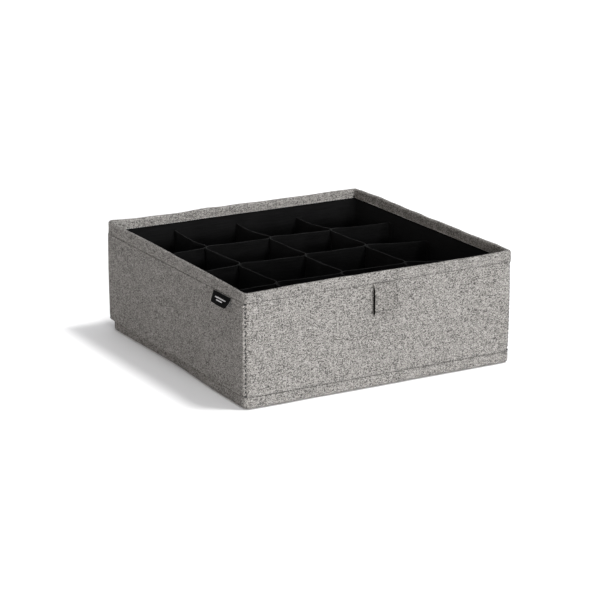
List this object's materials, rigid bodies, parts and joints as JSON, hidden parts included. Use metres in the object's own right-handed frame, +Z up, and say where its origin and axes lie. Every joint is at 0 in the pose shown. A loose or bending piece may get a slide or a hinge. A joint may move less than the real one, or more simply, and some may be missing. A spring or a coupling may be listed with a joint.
{
  "type": "compartment storage drawer",
  "caption": "Open square fabric storage drawer: woven grey cover over stiff walls, black lining, sewn grid of compartments, pull loop at the front and a cloth label at the side.",
  "frame": {"origin": "middle of the underside, on the surface it stands on", "axes": "+X runs along the front to the right, +Y points to the back, +Z is up; the pull loop is on the -Y side and the label on the -X side"},
  "size_m": [0.3161, 0.3145, 0.12],
  "materials": {
    "woven_grey": "melange plain weave, matt, dark flecks",
    "stiffener_board": "plain uncoated board",
    "nonwoven_black": "black non-woven cloth, matt, faint emboss",
    "label_black": "black woven label, fine rib, slight sheen"
  },
  "bodies": {
    "box": {"cover_front": "woven_grey", "cover_back": "woven_grey", "cover_left": "woven_grey", "cover_right": "woven_grey", "rim_binding": "woven_grey", "bottom_band": "woven_grey", "board_front": "stiffener_board", "board_back": "stiffener_board", "board_left": "stiffener_board", "board_right": "stiffener_board", "lining_front": "nonwoven_black", "lining_back": "nonwoven_black", "lining_left": "nonwoven_black", "lining_right": "nonwoven_black", "base_cloth": "nonwoven_black", "base_board": "stiffener_board", "floor_lining": "nonwoven_black", "divider_1": "nonwoven_black", "divider_2": "nonwoven_black", "divider_3": "nonwoven_black", "divider_4": "nonwoven_black", "divider_5": "nonwoven_black", "divider_6": "nonwoven_black"},
    "pull_loop": {"pull_loop": "woven_grey"},
    "label": {"label": "label_black"}
  },
  "joints": [
    {"name": "pull_loop_hinge", "type": "hinge", "parent": "box", "child": "pull_loop", "pos_m": [0.0021, -0.1564, 0.1066], "axis": [-1, 0, 0], "range_deg": [0, 150]},
    {"name": "label_hinge", "type": "hinge", "parent": "box", "child": "label", "pos_m": [-0.1557, -0.1103, 0.1068], "axis": [0, 1, 0], "range_deg": [-18, 143]}
  ]
}
